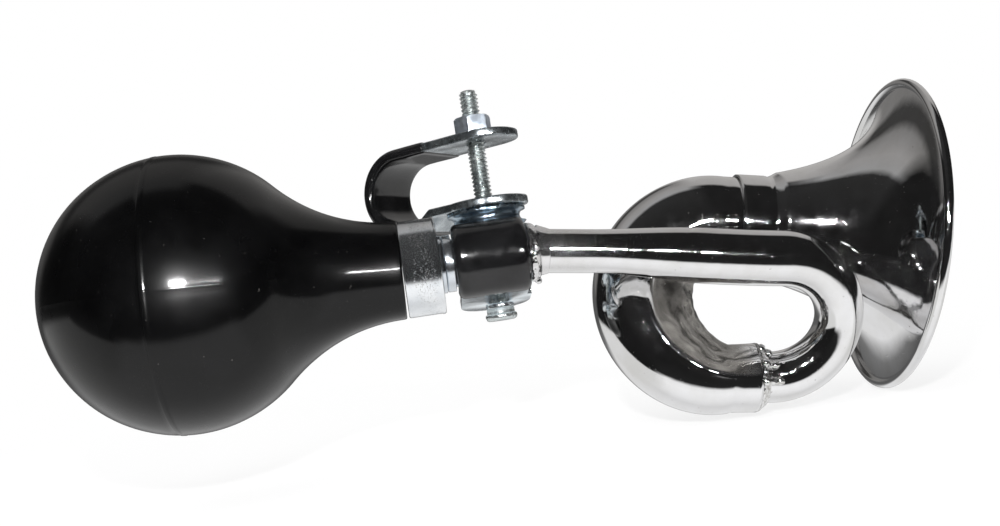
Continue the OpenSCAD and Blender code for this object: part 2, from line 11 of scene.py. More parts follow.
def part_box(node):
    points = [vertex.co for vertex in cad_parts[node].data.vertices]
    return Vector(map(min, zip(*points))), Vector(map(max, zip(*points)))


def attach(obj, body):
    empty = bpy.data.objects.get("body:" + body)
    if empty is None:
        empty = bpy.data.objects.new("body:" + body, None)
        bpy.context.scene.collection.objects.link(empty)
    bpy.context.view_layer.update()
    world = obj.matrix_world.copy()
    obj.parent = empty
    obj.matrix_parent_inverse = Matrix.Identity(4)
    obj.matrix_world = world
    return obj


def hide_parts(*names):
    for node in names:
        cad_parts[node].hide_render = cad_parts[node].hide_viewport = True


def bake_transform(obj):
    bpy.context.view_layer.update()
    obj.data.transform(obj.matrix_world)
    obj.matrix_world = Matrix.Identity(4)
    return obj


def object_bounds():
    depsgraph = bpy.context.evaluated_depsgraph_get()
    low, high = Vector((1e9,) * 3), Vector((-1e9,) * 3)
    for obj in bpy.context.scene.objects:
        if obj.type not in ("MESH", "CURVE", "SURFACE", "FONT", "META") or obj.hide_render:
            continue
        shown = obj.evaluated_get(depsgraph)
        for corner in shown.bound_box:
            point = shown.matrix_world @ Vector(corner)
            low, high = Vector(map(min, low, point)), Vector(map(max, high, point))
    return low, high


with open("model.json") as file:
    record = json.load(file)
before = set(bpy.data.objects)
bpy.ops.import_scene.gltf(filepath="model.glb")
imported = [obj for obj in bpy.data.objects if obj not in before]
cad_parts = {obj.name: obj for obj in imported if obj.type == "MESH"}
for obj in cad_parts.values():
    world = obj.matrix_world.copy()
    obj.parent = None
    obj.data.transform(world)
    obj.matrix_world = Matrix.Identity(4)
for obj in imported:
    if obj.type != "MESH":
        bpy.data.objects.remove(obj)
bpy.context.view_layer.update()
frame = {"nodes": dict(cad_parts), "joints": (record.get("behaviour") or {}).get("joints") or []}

# Reed stem and sealing ring: a turned steel tube, zinc plated, with a screwed end for the bulb's
# collar and a shoulder that stops the ring. Only the shoulder and the ring show between the pieces.
MM = 0.001
joint = {j["name"]: j for j in frame["joints"]}
stem_frame = Matrix.Translation(Vector(joint["stem_turn"]["pos_m"]))


def new_finish(name):
    """A material, its shader, and a place in the piece's own coordinates for its textures."""
    finish = bpy.data.materials.new(name)
    finish.use_nodes = True
    tree = finish.node_tree
    shader = tree.nodes["Principled BSDF"]
    place = tree.nodes.new("ShaderNodeTexCoord").outputs["Object"]
    return finish, tree, shader, place


def grain(tree, place, size_mm, detail=3.0, stretch=None):
    """Noise whose features are about size_mm across, drawn out along the axes that stretch lengthens."""
    if stretch:
        drawn = tree.nodes.new("ShaderNodeMapping")
        drawn.inputs["Scale"].default_value = [1 / s for s in stretch]
        tree.links.new(place, drawn.inputs["Vector"])
        place = drawn.outputs["Vector"]
    node = tree.nodes.new("ShaderNodeTexNoise")
    node.inputs["Scale"].default_value = 1 / (size_mm * MM)
    node.inputs["Detail"].default_value = detail
    tree.links.new(place, node.inputs["Vector"])
    return node.outputs["Fac"]


def spread(tree, value, low, high, to_low, to_high):
    """Maps the stretch from low to high of a texture onto two new values."""
    node = tree.nodes.new("ShaderNodeMapRange")
    tree.links.new(value, node.inputs["Value"])
    for socket, number in zip(("From Min", "From Max", "To Min", "To Max"), (low, high, to_low, to_high)):
        node.inputs[socket].default_value = number
    return node.outputs["Result"]


def between(tree, share, first, second):
    """Mixes two colours, or the colour of a socket and a colour, by a texture."""
    node = tree.nodes.new("ShaderNodeMix")
    node.data_type = "RGBA"
    tree.links.new(share, node.inputs["Factor"])
    for socket, colour in ((node.inputs[6], first), (node.inputs[7], second)):
        if isinstance(colour, (tuple, list)):
            socket.default_value = (*colour, 1)
        else:
            tree.links.new(colour, socket)
    return node.outputs[2]


def sums(tree, kind, first, second):
    """One step of arithmetic on two sockets or numbers."""
    node = tree.nodes.new("ShaderNodeMath")
    node.operation = kind
    for socket, value in zip(node.inputs, (first, second)):
        if isinstance(value, (int, float)):
            socket.default_value = value
        else:
            tree.links.new(value, socket)
    return node.outputs[0]


def relief(tree, height, depth_mm, below=None, strength=1.0):
    """A bump of that depth, on top of another one."""
    node = tree.nodes.new("ShaderNodeBump")
    node.inputs["Distance"].default_value = depth_mm * MM
    node.inputs["Strength"].default_value = strength
    tree.links.new(height, node.inputs["Height"])
    if below:
        tree.links.new(below, node.inputs["Normal"])
    return node.outputs["Normal"]


def zinc_finish(name, colour, stain, rough, pitting_mm):
    """Bright zinc: bluish white metal with faint stains, fine tumbling marks and shallow pits."""
    finish, tree, shader, place = new_finish(name)
    shader.inputs["Metallic"].default_value = 0.98
    clouds = spread(tree, grain(tree, place, 5), 0.35, 0.65, 0, 1)
    tree.links.new(between(tree, clouds, colour, stain), shader.inputs["Base Color"])
    wear = spread(tree, grain(tree, place, 1.4, 6), 0.3, 0.7, 0.8 * rough, 1.25 * rough)
    tree.links.new(wear, shader.inputs["Roughness"])
    marks = relief(tree, grain(tree, place, 0.35, 4, (1, 1, 3)), 0.003)
    tree.links.new(relief(tree, grain(tree, place, 2.2, 2), pitting_mm, marks), shader.inputs["Normal"])
    return finish


def show(piece, finish):
    """Gives a piece its finish."""
    piece.data.materials.clear()
    piece.data.materials.append(finish)


def mesh_piece(name, points, faces, place=Matrix.Identity(4)):
    """A smooth mesh from points in millimetres, put in place in the row's frame."""
    mesh = bpy.data.meshes.new(name)
    mesh.from_pydata([place @ (Vector(p) * MM) for p in points], [], faces)
    mesh.update()
    piece = bpy.data.objects.new(name, mesh)
    bpy.context.scene.collection.objects.link(piece)
    mesh.shade_smooth()
    return piece


def rounded_copy(node, name, radius_mm, body, steps=2):
    """A piece with the solid's shape and its sharp edges broken by a small round."""
    weld_mm = 0.002
    flat, sharp, creased = math.radians(1), math.radians(28), math.radians(34)
    mesh = frame["nodes"][node].data.copy()
    mesh.materials.clear()
    shape = bmesh.new()
    shape.from_mesh(mesh)
    bmesh.ops.remove_doubles(shape, verts=shape.verts, dist=weld_mm * MM)
    bmesh.ops.dissolve_limit(
        shape, angle_limit=flat, verts=shape.verts, edges=shape.edges, use_dissolve_boundaries=False
    )
    edges = [e for e in shape.edges if e.is_manifold and e.calc_face_angle(0) > sharp]
    radius = radius_mm * MM
    bmesh.ops.bevel(
        shape, geom=edges, offset=radius, segments=steps, affect="EDGES", profile=0.5, clamp_overlap=True
    )
    bmesh.ops.triangulate(shape, faces=[f for f in shape.faces if len(f.verts) > 4])
    shape.to_mesh(mesh)
    shape.free()
    mesh.name = name
    mesh.shade_smooth()
    mesh.set_sharp_from_angle(angle=creased)
    piece = bpy.data.objects.new(name, mesh)
    bpy.context.scene.collection.objects.link(piece)
    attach(piece, body)
    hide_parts(node)
    return piece


stem_zinc = zinc_finish("stem_zinc", (0.74, 0.78, 0.82), (0.64, 0.68, 0.73), 0.16, 0.01)
turned_edge = 0.12
stem = rounded_copy("reed_stem", "stem_turned", turned_edge, "horn")
sealing_ring = rounded_copy("seal_washer", "sealing_ring", turned_edge, "seal_ring")
for piece in (stem, sealing_ring):
    show(piece, stem_zinc)

# Reed: a springy brass tongue that beats on a half-round shallot, held by a wedge in a brass holder.
# It sits inside the stem, so it keeps its plain solids with a bare brass finish.
reed_brass, tree, shader, place = new_finish("reed_brass")
shader.inputs["Metallic"].default_value = 1.0
tarnish = spread(tree, grain(tree, place, 3), 0.35, 0.7, 0, 1)
tree.links.new(between(tree, tarnish, (0.8, 0.6, 0.27), (0.55, 0.38, 0.17)), shader.inputs["Base Color"])
tree.links.new(spread(tree, grain(tree, place, 0.8), 0.3, 0.7, 0.22, 0.4), shader.inputs["Roughness"])
tree.links.new(relief(tree, grain(tree, place, 0.2, 3, (8, 1, 1)), 0.006), shader.inputs["Normal"])
for node in ("reed_holder", "reed_shallot", "reed_tongue", "reed_wedge"):
    show(frame["nodes"][node], reed_brass)

# Bulb collar: a short turned ring, zinc plated, that grips the bulb's plug and screws on the stem.
# Its middle is pitted and lightly scored, and its edges are broken by a thin chamfer.
collar_low, collar_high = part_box("bulb_collar")
collar_r = (collar_high.y - collar_low.y) / 2 / MM
collar_left = (collar_low.x - stem_frame.translation.x) / MM
collar_right = (collar_high.x - stem_frame.translation.x) / MM


def arc(mid, radius, first, last, steps):
    """Points of an arc as (radius from the axis, station along it), by its middle and end angles."""
    turn = [math.radians(first + (last - first) * i / steps) for i in range(steps + 1)]
    return [(mid[0] + radius * math.cos(a), mid[1] + radius * math.sin(a)) for a in turn]


def turned(name, profile, place, angles=96, shift=None):
    """Turns (radius, station) points round the X axis. A radius of 0 closes the skin in one point."""
    if isinstance(angles, int):
        angles = [2 * math.pi * i / angles for i in range(angles)]
    count = len(angles)
    points, rings = [], []
    for r, x in profile:
        ring = len(points)
        around = angles if r > 1e-6 else angles[:1]
        for a in around:
            grown = r + (shift(x, a) if shift and r > 1e-6 else 0)
            points.append((x, grown * math.cos(a), grown * math.sin(a)))
        rings.append((ring, len(around)))
    faces = []
    for (a, an), (b, bn) in zip(rings, rings[1:]):
        for k in range(count):
            n = (k + 1) % count
            corners = [a + k % an, a + n % an, b + n % bn, b + k % bn]
            corners = [c for i, c in enumerate(corners) if c != corners[i - 1]]
            if len(corners) > 2:
                faces.append(corners)
    return mesh_piece(name, points, faces, place)


def reopened(finish):
    """The tree, shader and texture place of a finish that gets more nodes."""
    tree = finish.node_tree
    place = next(n for n in tree.nodes if n.type == "TEX_COORD").outputs["Object"]
    return tree, tree.nodes["Principled BSDF"], place


edge = 0.45
burr = 0.2
collar_in_r = 9.75
collar_bore_r = 5.15
recess_end = collar_left + 4.7
lip_left = collar_right - 1.0
lip_r = collar_r + 0.1
collar_profile = [(collar_bore_r, recess_end), (collar_in_r, recess_end), (collar_in_r, collar_left + burr)]
collar_profile += [(collar_in_r + burr, collar_left), (collar_r - edge, collar_left)]
collar_profile += arc((collar_r - edge, collar_left + edge), edge, -90, 0, 5)
collar_profile += [(collar_r, collar_left + 2), (collar_r, (collar_left + collar_right) / 2)]
collar_profile += [(collar_r, lip_left - 0.1), (collar_r, lip_left), (lip_r, lip_left + 0.15)]
collar_profile += [(lip_r, collar_right - edge)]
collar_profile += arc((lip_r - edge, collar_right - edge), edge, 0, 90, 5)
collar_profile += [(collar_bore_r + burr, collar_right), (collar_bore_r, collar_right - burr)]
collar_profile += [(collar_bore_r, recess_end)]
collar = turned("collar_ring", collar_profile, stem_frame, 128)
collar.data.set_sharp_from_angle(angle=math.radians(40))
collar_zinc = zinc_finish("collar_zinc", (0.9, 0.92, 0.94), (0.78, 0.81, 0.84), 0.16, 0.003)
tree, shader, place = reopened(collar_zinc)
along = tree.nodes.new("ShaderNodeSeparateXYZ")
tree.links.new(place, along.inputs[0])
pit_mid = collar_low.x + 0.55 * (collar_high.x - collar_low.x)
off_mid = sums(tree, "ABSOLUTE", sums(tree, "SUBTRACT", along.outputs["X"], pit_mid), 0)
band = spread(tree, off_mid, 1.2 * MM, 3.4 * MM, 1, 0)
pits = spread(tree, grain(tree, place, 0.32, 3), 0.6, 0.68, 0, 1)
pitted = sums(tree, "MULTIPLY", band, pits)
tumbled = shader.inputs["Normal"].links[0].from_socket
tree.links.new(relief(tree, pitted, 0.06, tumbled), shader.inputs["Normal"])
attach(collar, "collar")
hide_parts("bulb_collar")
show(collar, collar_zinc)

# Squeeze bulb: blow-moulded black rubber, glossy, with a ring where the mould's halves meet round it
# and a thin parting line along each side, which fades out on the neck. The neck is gripped in the
# collar, so the bulb bends from there.
bulb_r = 34.2
blend_r = 42.0
neck_r = 12.2
sag = 2.0
bulb_mid = -math.sqrt((bulb_r + blend_r) ** 2 - (neck_r + blend_r) ** 2)
tangent = math.degrees(math.atan2(neck_r + blend_r, -bulb_mid))
neck_frame = stem_frame @ Matrix.Translation((collar_left * MM, 0, 0))
bulb_frame = neck_frame @ Matrix.Rotation(math.radians(sag), 4, "Y")
ridge_at = bulb_mid - 3.0
ridge_high, ridge_flat, ridge_slope = 0.1, 0.25, 0.45
part_line = math.radians(177)
line_half = math.radians(0.5)
line_high = 0.03
line_end, line_fade = -14.0, 14.0
sway_high = 0.12


def ease(t):
    """Runs smoothly from 0 to 1."""
    t = min(1.0, max(0.0, t))
    return t * t * (3 - 2 * t)


def turn_between(a, b):
    """The smaller angle between two places round the axis."""
    return abs((a - b + math.pi) % (2 * math.pi) - math.pi)


def bulb_relief(x, a):
    """Height of the mould's ring and parting lines, and of the rubber's slight unevenness."""
    off = max(0.0, abs(x - ridge_at) - ridge_flat)
    ring = ridge_high * max(0.0, 1 - (off / ridge_slope) ** 2)
    turn = min(turn_between(a, part_line), turn_between(a, part_line + math.pi))
    line = line_high * max(0.0, 1 - turn / line_half) * ease((line_end - x) / line_fade)
    sway = noise.noise((x * 0.05, 1.5 * math.cos(a), 1.5 * math.sin(a)))
    return ring + line + sway_high * sway


bulb_sides = 160
even = [2 * math.pi * i / bulb_sides for i in range(bulb_sides)]
close = [part_line + side * math.pi + line_half * s for side in (0, 1) for s in (-1, -0.4, 0, 0.4, 1)]
off_line = [a for a in even if all(turn_between(a, c) > 1.5 * line_half for c in close)]
bulb_angles = sorted(off_line + [c % (2 * math.pi) for c in close])
near_ridge = [ridge_at + s for s in (-0.72, -0.6, -0.45, -0.25, 0, 0.25, 0.45, 0.6, 0.72)]
ball = [p for p in arc((0, bulb_mid), bulb_r, -90, 90 - tangent, 90) if abs(p[1] - ridge_at) > 0.8]
ball += [(math.sqrt(bulb_r**2 - (x - bulb_mid) ** 2), x) for x in near_ridge]
ball.sort(key=lambda p: p[1])
ball[0] = (0.0, bulb_mid - bulb_r)
hollow = arc((neck_r + blend_r, 0), blend_r, 270 - tangent, 180, 44)[1:]
hollow = [(r, x) for r, x in hollow if x < -0.9]
neck_end = -0.12
neck_edge = [(neck_r - 0.02, -0.6), (neck_r - 0.15, -0.25), (neck_r - 0.5, neck_end), (0.0, neck_end)]
bulb = turned("squeeze_bulb", ball + hollow + neck_edge, bulb_frame, bulb_angles, bulb_relief)

bulb_rubber, tree, shader, place = new_finish("bulb_rubber")
dust = spread(tree, grain(tree, place, 0.6, 2), 0.745, 0.8, 0, 1)
smear = spread(tree, grain(tree, place, 14, 5), 0.45, 0.75, 0, 1)
worn = between(tree, smear, (0.0004, 0.0004, 0.00045), (0.0012, 0.0012, 0.0013))
dusty = between(tree, sums(tree, "MULTIPLY", dust, 0.4), worn, (0.1, 0.095, 0.09))
tree.links.new(dusty, shader.inputs["Base Color"])
haze = spread(tree, grain(tree, place, 5, 6), 0.3, 0.75, 0.26, 0.36)
tree.links.new(sums(tree, "ADD", haze, sums(tree, "MULTIPLY", dust, 0.3)), shader.inputs["Roughness"])
shader.inputs["Specular IOR Level"].default_value = 0.07
shader.inputs["Coat Weight"].default_value = 0.5
shader.inputs["Coat Roughness"].default_value = 0.1
scuffs = relief(tree, spread(tree, grain(tree, place, 0.5, 3, (1, 1, 14)), 0.66, 0.74, 0, 1), 0.006)
tree.links.new(relief(tree, grain(tree, place, 0.25, 3), 0.0015, scuffs), shader.inputs["Normal"])
show(bulb, bulb_rubber)
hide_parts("bulb")
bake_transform(bulb)

# Lead tube: thin brass tube, chrome plated, soldered to the stem, where the heat left fine specks. It
# runs straight, swells where it crosses the coil, and turns back in a slightly flattened half circle.
kink = math.radians(8.5)
stem_end = 8.95
stem_gap = 0.1
bugle_x = 10.3
lead_r = 5.5
cross_r = 7.2
lead_end_r = 6.7
right_bend_r = 15.7
bend_reach = 16.6
right_bend_x = 63.0
lead_sag = 1.5
swell_from, swell_run = 14, 30
flatten = 0.9
tuck = 4
lower_y = 11.0
lower_z = -lead_sag - 2 * right_bend_r
mouth_x = right_bend_x - 4.1
bugle_frame = stem_frame @ Matrix.Translation((bugle_x * MM, 0, 0)) @ Matrix.Rotation(kink, 4, "Y")


def mixed(a, b, t):
    """The value that lies a share t of the way from a to b."""
    return a + (b - a) * t


def tube_faces(rings, sides):
    """Faces of a tube with that many rings and closed ends."""
    faces = []
    for i in range(rings - 1):
        for k in range(sides):
            n = (k + 1) % sides
            faces.append((i * sides + k, i * sides + n, (i + 1) * sides + n, (i + 1) * sides + k))
    faces.append(tuple(range(sides - 1, -1, -1)))
    faces.append(tuple((rings - 1) * sides + k for k in range(sides)))
    return faces


def swept(name, stations, place, sides=72, shape=None):
    """A tube through stations of (centre, radius in the coil's plane, radius across it)."""
    points = []
    last = len(stations) - 1
    for i, (mid, tall, wide) in enumerate(stations):
        way = (Vector(stations[min(i + 1, last)][0]) - Vector(stations[max(i - 1, 0)][0])).normalized()
        up = way.cross(Vector((0, 1, 0))).normalized()
        side = up.cross(way)
        for k in range(sides):
            a = 2 * math.pi * k / sides
            grow = shape(i, a) if shape else 0.0
            rise, reach = (tall + grow) * math.cos(a), (wide + grow) * math.sin(a)
            points.append(Vector(mid) + rise * up + reach * side)
    return mesh_piece(name, points, tube_faces(len(stations), sides), place)


def lead_straight(x):
    """A station of the first run, which swells and sinks a little towards the bend."""
    r = mixed(lead_r, cross_r, ease((x - swell_from) / swell_run))
    return (x, 0, -lead_sag * ease((x - swell_from) / (right_bend_x - swell_from))), r, r


def lead_bend(t):
    """A station of the half circle, which also leads back to the coil tube's depth."""
    a = math.radians(90 - 180 * t)
    r = mixed(cross_r, lead_end_r, t)
    mid = (
        right_bend_x + bend_reach * math.cos(a),
        lower_y * ease(t),
        right_bend_r * (math.sin(a) - 1) - lead_sag,
    )
    return mid, r - flatten * math.sin(math.pi * t) ** 2, r


def chrome_finish(name):
    """Bright chrome on polished brass: a wavy mirror with pin holes and light scratches."""
    finish, tree, shader, place = new_finish(name)
    shader.inputs["Metallic"].default_value = 1.0
    clouds = spread(tree, grain(tree, place, 9, 4), 0.35, 0.7, 0, 1)
    tint = between(tree, clouds, (0.82, 0.82, 0.83), (0.74, 0.735, 0.73))
    pin_holes = spread(tree, grain(tree, place, 0.7, 2), 0.735, 0.77, 0, 1)
    tree.links.new(between(tree, pin_holes, tint, (0.3, 0.28, 0.26)), shader.inputs["Base Color"])
    breath = spread(tree, grain(tree, place, 3, 5), 0.35, 0.7, 0.03, 0.085)
    blurred = sums(tree, "ADD", breath, sums(tree, "MULTIPLY", pin_holes, 0.3))
    tree.links.new(blurred, shader.inputs["Roughness"])
    waves = relief(tree, grain(tree, place, 7, 2), 0.05)
    hairlines = spread(tree, grain(tree, place, 0.4, 2, (1, 9, 2)), 0.68, 0.74, 0, 1)
    tree.links.new(relief(tree, hairlines, 0.006, waves), shader.inputs["Normal"])
    return finish


lead_start = (stem_end + stem_gap - bugle_x + lead_r * math.sin(kink)) / math.cos(kink)
lead_stop = right_bend_x - 3
run_steps, turn_steps = 50, 72
lead_stations = [lead_straight(mixed(lead_start, lead_stop, i / run_steps)) for i in range(run_steps + 1)]
lead_stations += [lead_bend(i / turn_steps) for i in range(turn_steps + 1)]
for x in (mouth_x + 1, mouth_x, mouth_x - tuck):
    lead_stations.append(((x, lower_y, lower_z), lead_end_r, lead_end_r))
lead = swept("lead_tube_plated", lead_stations, bugle_frame)
lead_chrome = chrome_finish("lead_chrome")
tree, shader, place = reopened(lead_chrome)
along = tree.nodes.new("ShaderNodeSeparateXYZ")
tree.links.new(place, along.inputs[0])
stem_tip = stem_frame.translation.x + bugle_x * MM
thinning = spread(tree, along.outputs["X"], stem_tip + 6 * MM, stem_tip + 34 * MM, 0, 0.16)
burns = sums(tree, "SUBTRACT", grain(tree, place, 0.12, 2), thinning)
specks = spread(tree, burns, 0.6, 0.64, 0, 0.46)
clear = shader.inputs["Roughness"].links[0].from_socket
tree.links.new(sums(tree, "ADD", clear, specks), shader.inputs["Roughness"])
show(lead, lead_chrome)
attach(lead, "horn")
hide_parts("lead_tube")

# Coil tube: a wider plated tube that takes the lead tube's end in its mouth, turns up in a tight bend
# and widens into the bell. The bend's inside is dented behind a long crease, and the plating is
# dull there.
mouth_r = 9.2
throat_r = 13.2
left_bend_r = 20.3
left_bend_x = 52.2
coil_depth = 24.7
neck_share = 0.78
neck_from = 0.72
bulge = 3.25
bell_droop = 2.8
bell_turn = 2.5
seam_run = 3.5
socket_len = 8.5
crease_low, crease_left = 8.0, -4.0
crease_high, crease_half = 0.5, 6
wall_end, wall_deep = 118.0, 3.0
dent_deep, dimple_deep = 0.8, 0.1
left_bend_z = lower_z + left_bend_r
left_sweep = 180 + bell_droop


def loop_radius(t):
    """Radius of the bend, which widens from the mouth to the throat."""
    opening = mixed(neck_share, 1, ease((t - neck_from) / (1 - neck_from)))
    return mouth_r + opening * (throat_r - mouth_r) * t**0.6


def left_bend_place(t):
    """Middle of the bend, which also leans back behind the lead tube."""
    a = math.radians(270 - left_sweep * t)
    return Vector(
        (
            left_bend_x + left_bend_r * math.cos(a),
            mixed(lower_y, coil_depth, ease(1.25 * t)),
            left_bend_z + left_bend_r * math.sin(a),
        )
    )


droop, turn = math.radians(bell_droop), math.radians(bell_turn)
bell_way = Vector((math.cos(droop) * math.cos(turn), -math.sin(turn), -math.sin(droop) * math.cos(turn)))
bell_seam = left_bend_place(1) + seam_run * bell_way
loop_stations = []
for t in (0, 0.12, 0.3, 0.5, 0.75):
    loop_stations.append(((mixed(mouth_x, left_bend_x, t), lower_y, lower_z), mouth_r, mouth_r))
straight_steps = len(loop_stations)
bend_steps = 110
for i in range(bend_steps + 1):
    t = i / bend_steps
    r = loop_radius(t)
    loop_stations.append((left_bend_place(t), r + bulge * math.sin(math.pi * t), r))
for d in (seam_run / 2, seam_run + socket_len - 1.5):
    loop_stations.append((left_bend_place(1) + d * bell_way, throat_r, throat_r))


def flat_wall(i, a):
    """Degrees past the crease, share of the inner wall's width, how flat the wall is, share of the bend."""
    past_front = math.degrees((-a) % (2 * math.pi)) - 90
    bend = (i - straight_steps) / bend_steps
    crease_at = mixed(crease_low, crease_left, ease(bend / 0.45))
    amount = ease((bend + 0.1) / 0.2) * ease((0.92 - bend) / 0.3)
    return past_front - crease_at, (past_front - crease_at) / (wall_end - crease_at), amount, bend


def pucker(i, a):
    """Height of the crease, of the flattened wall behind it and of the wall's dents."""
    off, share, amount, bend = flat_wall(i, a)
    crease = crease_high * math.exp(-((off / crease_half) ** 2))
    if not 0 < share < 1:
        return amount * crease
    across = math.sin(math.pi * share)
    dents = noise.noise((12 * bend, 2.6 * math.cos(a), 2.6 * math.sin(a)))
    dimples = noise.noise((34 * bend, 7 * math.cos(a), 7 * math.sin(a)))
    uneven = (dent_deep * dents + dimple_deep * dimples) * across
    return amount * (crease - wall_deep * across**1.2 + uneven)


coil_sides = 120
coil = swept("coil_tube_plated", loop_stations, bugle_frame, coil_sides, pucker)
dull = coil.data.attributes.new("dull", "FLOAT", "POINT")
for n, spot in enumerate(dull.data):
    i, k = divmod(n, coil_sides)
    off, share, amount, bend = flat_wall(i, 2 * math.pi * k / coil_sides)
    across_wall = ease(off / 4) * ease((1 - share) / 0.12)
    along_bend = ease((bend + 0.05) / 0.05) * ease((0.95 - bend) / 0.2)
    spot.value = across_wall * along_bend
coil_chrome = chrome_finish("coil_chrome")
tree, shader, place = reopened(coil_chrome)
dulled = tree.nodes.new("ShaderNodeAttribute")
dulled.attribute_name = "dull"
blotch = spread(tree, grain(tree, place, 8, 2), 0.35, 0.65, 0, 1)
bare = between(tree, blotch, (0.36, 0.345, 0.32), (0.2, 0.19, 0.175))
plated = shader.inputs["Base Color"].links[0].from_socket
tree.links.new(between(tree, dulled.outputs["Fac"], plated, bare), shader.inputs["Base Color"])
clear = shader.inputs["Roughness"].links[0].from_socket
matt_share = sums(tree, "MULTIPLY", dulled.outputs["Fac"], spread(tree, blotch, 0, 1, 0.1, 0.18))
tree.links.new(sums(tree, "ADD", clear, matt_share), shader.inputs["Roughness"])
tree.links.new(spread(tree, dulled.outputs["Fac"], 0, 1, 1, 0.93), shader.inputs["Metallic"])
show(coil, coil_chrome)
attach(coil, "horn")
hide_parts("loop_tube")

# Bell: spun brass, chrome plated inside and out. A plain socket fits over the coil tube, a raised
# shoulder leads to the cone, and the flare ends in a rolled edge.
bell_len = 44.4
rim_r = 42.4
rim_bead = 1.3
bell_wall = 0.7
socket_r = throat_r + 0.1 + bell_wall
cone_from = socket_len + 2.8
cone_r = socket_r + 1.1
flare_from = bell_len - 14.8
start_deg, rim_deg = 30, 80
start_slope, rim_slope = math.radians(start_deg), math.radians(rim_deg)
flare_r = (bell_len - rim_bead - flare_from) / (math.sin(rim_slope) - math.sin(start_slope))
flare_start_r = rim_r - rim_bead - flare_r * (math.cos(start_slope) - math.cos(rim_slope))
flare_mid = (flare_start_r + flare_r * math.cos(start_slope), flare_from - flare_r * math.sin(start_slope))
cone_bend = mixed(cone_from, flare_from, 0.6)
knee_r = flare_start_r - (flare_from - cone_bend) * math.tan(start_slope)
cone_steps, flare_steps = 24, 30


def cone_curve(t):
    """A point of the cone's outline, a curve that meets the flare without a kink."""
    return (
        mixed(mixed(cone_r, knee_r, t), mixed(knee_r, flare_start_r, t), t),
        mixed(mixed(cone_from, cone_bend, t), mixed(cone_bend, flare_from, t), t),
    )


bell_frame = (
    bugle_frame
    @ Matrix.Translation(bell_seam * MM)
    @ Matrix.Rotation(droop, 4, "Y")
    @ Matrix.Rotation(-turn, 4, "Z")
)
groove = 0.2
brim = 0.15
waist = [(0, -2.2), (0, -1), (-0.06, -0.6), (-groove, -0.1), (-groove, 0.4)]
waist += [(0.05, 1), (0.42, 1.7), (0.8, 2.3)]
bell_out = [(socket_r - brim, 0), (socket_r, brim), (socket_r, 1)]
bell_out += [(socket_r + rise, socket_len + past) for rise, past in waist]
bell_out += [cone_curve(i / cone_steps) for i in range(cone_steps)]
bell_out += arc(flare_mid, flare_r, 180 - start_deg, 180 - rim_deg, flare_steps)[:-1]
bead = arc((rim_r - rim_bead, bell_len - rim_bead), rim_bead, -115, 165, 22)
bell_in = arc(flare_mid, flare_r + bell_wall, 180 - rim_deg, 180 - start_deg, flare_steps)[1:]
inner_cone = [cone_curve(i / cone_steps) for i in range(cone_steps - 1, 0, -1)]
inner_cone += [(cone_r, cone_from), (socket_r, socket_len), (socket_r, brim)]
bell_in += [(r - bell_wall, x) for r, x in inner_cone]
bell_in += [(socket_r - 0.5, 0), (socket_r - brim, 0)]
bell = turned("bell_spun", bell_out + bead + bell_in, bell_frame, 192)
bugle_chrome = chrome_finish("bugle_chrome")
show(bell, bugle_chrome)
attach(bell, "horn")
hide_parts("bell")

# Solder: a rough bead round the stem's end with a drop below it, and a lumpy fill with a few runs
# in the coil tube's mouth. Both were plated over with the tubes.


def lumpy_copy(node, name, voxel_mm, swell_mm, size_mm, body, smoothing=2, smooth_from=None):
    """A piece with the solid's form, softened, its skin raised and sunk by lumps up to a station."""
    piece = bpy.data.objects.new(name, frame["nodes"][node].data.copy())
    bpy.context.scene.collection.objects.link(piece)
    remesh = piece.modifiers.new("even", "REMESH")
    remesh.mode = "VOXEL"
    remesh.voxel_size = voxel_mm * MM
    soften = piece.modifiers.new("soft", "SMOOTH")
    soften.iterations = smoothing
    soften.factor = 0.5
    bpy.context.view_layer.update()
    shaped = bpy.data.meshes.new_from_object(piece.evaluated_get(bpy.context.evaluated_depsgraph_get()))
    piece.modifiers.clear()
    normals = [v.normal.copy() for v in shaped.vertices]
    for v, n in zip(shaped.vertices, normals):
        lift = noise.noise(v.co / (size_mm * MM)) + 0.5 * noise.noise(v.co / (0.4 * size_mm * MM))
        share = ease((smooth_from - v.co.x) / MM) if smooth_from else 1.0
        v.co = v.co + n * (lift * swell_mm * share * MM)
    shaped.materials.clear()
    shaped.name = name
    piece.data = shaped
    shaped.shade_smooth()
    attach(piece, body)
    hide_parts(node)
    return piece


solder, tree, shader, place = new_finish("plated_solder")
shader.inputs["Metallic"].default_value = 1.0
dirt = spread(tree, grain(tree, place, 0.9, 4), 0.4, 0.68, 0, 1)
tree.links.new(between(tree, dirt, (0.84, 0.84, 0.84), (0.5, 0.49, 0.47)), shader.inputs["Base Color"])
tree.links.new(spread(tree, grain(tree, place, 0.6, 4), 0.3, 0.7, 0.06, 0.28), shader.inputs["Roughness"])
tree.links.new(relief(tree, grain(tree, place, 0.7, 3), 0.03), shader.inputs["Normal"])
bead_end = stem_frame.translation.x + (stem_end + 0.9) * MM
stem_bead = lumpy_copy("stem_solder", "stem_solder_bead", 0.16, 0.3, 1.3, "horn", 12, bead_end)
show(stem_bead, lead_chrome)
show(lumpy_copy("loop_solder", "coil_solder_runs", 0.18, 0.2, 1.5, "horn", 5), solder)

